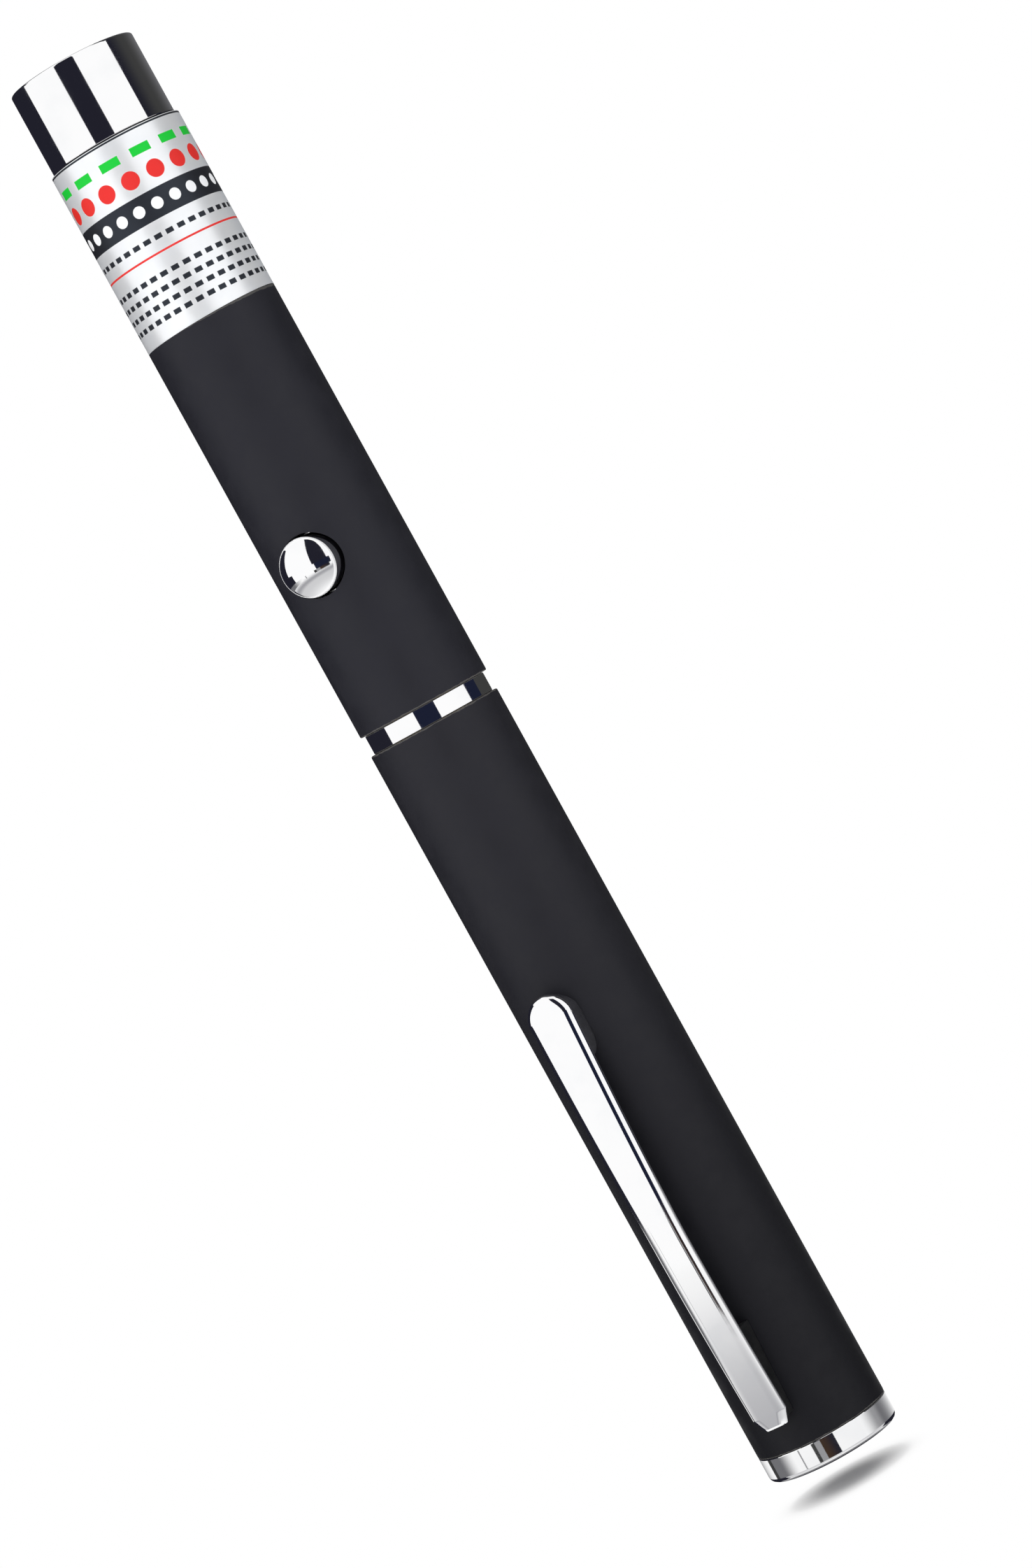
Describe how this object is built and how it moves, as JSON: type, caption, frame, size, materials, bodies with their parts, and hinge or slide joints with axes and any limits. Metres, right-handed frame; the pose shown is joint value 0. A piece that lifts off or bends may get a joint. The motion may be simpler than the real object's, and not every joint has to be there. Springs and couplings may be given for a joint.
{
  "type": "laser pointer",
  "caption": "Pen-shaped laser pointer with two screwed barrel halves, a push button, a pocket clip and an inner laser module.",
  "frame": {"origin": "centre of the flat tail face, on the pen's axis", "axes": "+Z along the pen's axis from the tail to the aperture, -Y towards the clip and the push button, +X to the right when the clip faces the viewer"},
  "size_m": [0.014, 0.0176, 0.154],
  "materials": {
    "black_lacquer": "matte black lacquer on a brass tube",
    "chrome": "polished plating",
    "dark_metal": "dark plating",
    "silver_foil": "silver foil, satin",
    "brass": "turned brass",
    "spring_steel": "nickelled wire",
    "cell_jacket": "printed film on steel can",
    "lens_glass": "polished glass",
    "crystal": "polished crystal",
    "filter_glass": "pale green filter glass",
    "board_green": "circuit board with green solder mask",
    "black_plastic": "moulded black plastic",
    "white_plastic": "moulded off-white plastic",
    "blue_plastic": "moulded blue plastic",
    "tin": "drawn can"
  },
  "bodies": {
    "rear_half": {"rear_barrel": "black_lacquer", "tail_cap": "chrome", "tail_spring": "spring_steel", "clip_saddle": "dark_metal", "saddle_rivet_1": "spring_steel", "saddle_rivet_2": "spring_steel"},
    "clip_arm": {"clip": "chrome"},
    "cell_pack": {"cell_rear": "cell_jacket", "cell_front": "cell_jacket"},
    "ring": {"centre_ring": "chrome"},
    "front_half": {"coupler_nipple": "brass", "front_barrel": "black_lacquer", "label_sleeve": "silver_foil", "head_cap": "chrome", "contact_spring": "spring_steel", "insulator_disc": "white_plastic", "driver_board": "board_green", "board_carrier": "white_plastic", "tact_switch": "black_plastic", "trim_potentiometer": "blue_plastic", "driver_transistor": "black_plastic", "smoothing_capacitor": "tin", "resistor_left": "black_plastic", "resistor_right": "black_plastic", "module_housing": "brass", "pump_diode": "brass", "diode_clamp_ring": "brass", "crystal_holder": "brass", "laser_crystal": "crystal", "expander_holder": "brass", "expander_lens": "lens_glass", "lens_barrel": "brass", "infrared_filter": "filter_glass", "collimator_lens": "lens_glass", "lens_retainer_ring": "brass"},
    "button": {"button_cap": "chrome"},
    "plunger": {"switch_plunger": "white_plastic"}
  },
  "joints": [
    {"name": "clip_flex", "type": "hinge", "parent": "rear_half", "child": "clip_arm", "pos_m": [0, -0.00869, 0.0064], "axis": [1, 0, 0], "range_deg": [0, 2.5], "stiffness_Nm_per_rad": 2},
    {"name": "cells_slide_out", "type": "slide", "parent": "rear_half", "child": "cell_pack", "axis": [0, 0, 1], "range_m": [0, 0.08]},
    {"name": "thread_advance", "type": "slide", "parent": "cell_pack", "child": "ring", "axis": [0, 0, 1], "range_m": [0, 0.0045]},
    {"name": "barrel_unscrew", "type": "hinge", "parent": "ring", "child": "front_half", "pos_m": [0, 0, 0.0811], "axis": [0, 0, 1], "range_deg": [0, 2160]},
    {"name": "button_press", "type": "slide", "parent": "front_half", "child": "button", "axis": [0, 1, 0], "range_m": [0, 0.0005], "stiffness_N_per_m": 4000},
    {"name": "plunger_press", "type": "slide", "parent": "front_half", "child": "plunger", "axis": [0, 1, 0], "range_m": [0, 0.0003]}
  ],
  "couplings": [
    {"joint": "barrel_unscrew", "follows": "thread_advance", "rad_per_m": 8377.6},
    {"joint": "plunger_press", "follows": "button_press", "ratio": 0.6}
  ]
}
